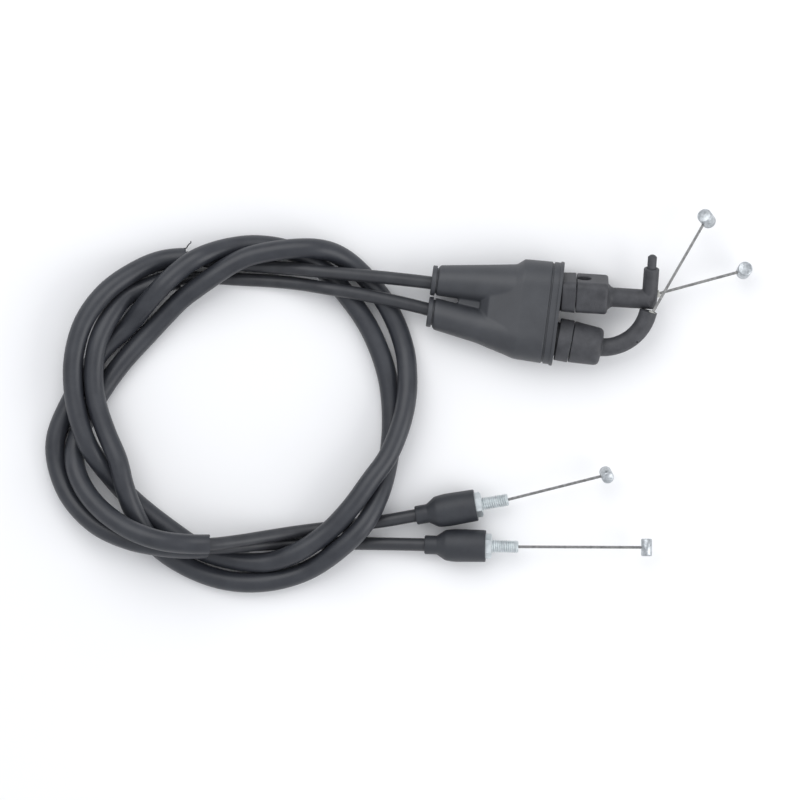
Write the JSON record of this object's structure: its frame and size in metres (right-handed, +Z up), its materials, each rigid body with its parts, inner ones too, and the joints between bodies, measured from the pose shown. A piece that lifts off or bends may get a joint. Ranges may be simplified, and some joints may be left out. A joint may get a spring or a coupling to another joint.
{
  "type": "throttle cable pair",
  "caption": "Looped pair of motorcycle throttle cables with a shared twin boot, straight and bent throttle fittings, threaded adjusters, rubber covers and barrel nipples.",
  "frame": {"origin": "on the surface the cables lie on, under the middle of the whole laid-out pair", "axes": "+X from the loop towards the throttle fittings, +Y from the throttle-body adjusters towards the throttle fittings, +Z up off the surface"},
  "size_m": [0.325, 0.176, 0.0318],
  "materials": {
    "boot_rubber": "satin moulded rubber",
    "sleeve_plastic": "satin soft vinyl",
    "conduit_plastic": "satin, faintly ribbed over the coiled liner",
    "moulded_plastic": "fine grained moulding",
    "pale_plastic": "waxy natural plastic",
    "zinc_steel": "zinc plated, turned",
    "steel_wire": "twisted strands"
  },
  "bodies": {
    "loom": {"twin_boot": "boot_rubber", "pin_head_ferrule": "zinc_steel", "pin_adjuster_screw": "zinc_steel", "pin_head_lock_nut": "zinc_steel", "bent_head_ferrule": "zinc_steel", "bent_adjuster_screw": "zinc_steel", "bent_head_lock_nut": "zinc_steel", "pin_collar": "moulded_plastic", "bent_collar": "moulded_plastic", "pin_conduit": "conduit_plastic", "pin_sleeve": "sleeve_plastic", "bent_conduit": "conduit_plastic", "bent_sleeve": "sleeve_plastic", "pin_stud": "zinc_steel", "pin_inner_nut": "zinc_steel", "bent_stud": "zinc_steel", "bent_inner_nut": "zinc_steel"},
    "pin_throttle_fitting": {"pin_fitting": "moulded_plastic", "locating_pin": "moulded_plastic", "pin_guide": "pale_plastic"},
    "bent_throttle_fitting": {"bent_fitting": "moulded_plastic", "bent_guide": "pale_plastic"},
    "pin_throttle_end": {"pin_throttle_wire": "steel_wire", "pin_throttle_nipple": "zinc_steel"},
    "bent_throttle_end": {"bent_throttle_wire": "steel_wire", "bent_throttle_nipple": "zinc_steel"},
    "pin_body_end": {"pin_body_wire": "steel_wire", "pin_body_nipple": "zinc_steel"},
    "bent_body_end": {"bent_body_wire": "steel_wire", "bent_body_nipple": "zinc_steel"},
    "pin_nut": {"pin_outer_nut": "zinc_steel"},
    "bent_nut": {"bent_outer_nut": "zinc_steel"},
    "pin_boot": {"pin_adjuster_boot": "boot_rubber"},
    "bent_boot": {"bent_adjuster_boot": "boot_rubber"}
  },
  "joints": [
    {"name": "pin_fitting_swivel", "type": "hinge", "parent": "loom", "child": "pin_throttle_fitting", "pos_m": [0.07387, 0.04947, 0.012], "axis": [0.9981, -0.061, 0], "range_deg": [-25, 0]},
    {"name": "bent_fitting_swivel", "type": "hinge", "parent": "loom", "child": "bent_throttle_fitting", "pos_m": [0.07197, 0.02887, 0.012], "axis": [0.9833, -0.1822, 0], "range_deg": [0, 70]},
    {"name": "pin_wire_pull", "type": "slide", "parent": "pin_throttle_fitting", "child": "pin_throttle_end", "axis": [0.9652, 0.2605, 0.0218], "range_m": [0, 0.012]},
    {"name": "bent_wire_pull", "type": "slide", "parent": "bent_throttle_fitting", "child": "bent_throttle_end", "axis": [0.4974, 0.8661, 0.0496], "range_m": [0, 0.012]},
    {"name": "pin_wire_draw", "type": "slide", "parent": "loom", "child": "pin_body_end", "axis": [0.9672, 0.2445, 0.0682], "range_m": [-0.012, 0]},
    {"name": "bent_wire_draw", "type": "slide", "parent": "loom", "child": "bent_body_end", "axis": [0.998, -0.0033, 0.0625], "range_m": [-0.012, 0]},
    {"name": "pin_nut_travel", "type": "slide", "parent": "loom", "child": "pin_nut", "axis": [0.9841, 0.17, 0.0523], "range_m": [0, 0.0085]},
    {"name": "bent_nut_travel", "type": "slide", "parent": "loom", "child": "bent_nut", "axis": [0.9984, -0.0209, 0.0523], "range_m": [0, 0.0085]},
    {"name": "pin_boot_peel", "type": "slide", "parent": "loom", "child": "pin_boot", "axis": [-0.9841, -0.17, -0.0523], "range_m": [0, 0.0065]},
    {"name": "bent_boot_peel", "type": "slide", "parent": "loom", "child": "bent_boot", "axis": [-0.9984, 0.0209, -0.0523], "range_m": [0, 0.0065]}
  ],
  "couplings": [
    {"joint": "pin_wire_draw", "follows": "pin_wire_pull", "ratio": -1},
    {"joint": "bent_wire_draw", "follows": "bent_wire_pull", "ratio": -1}
  ]
}
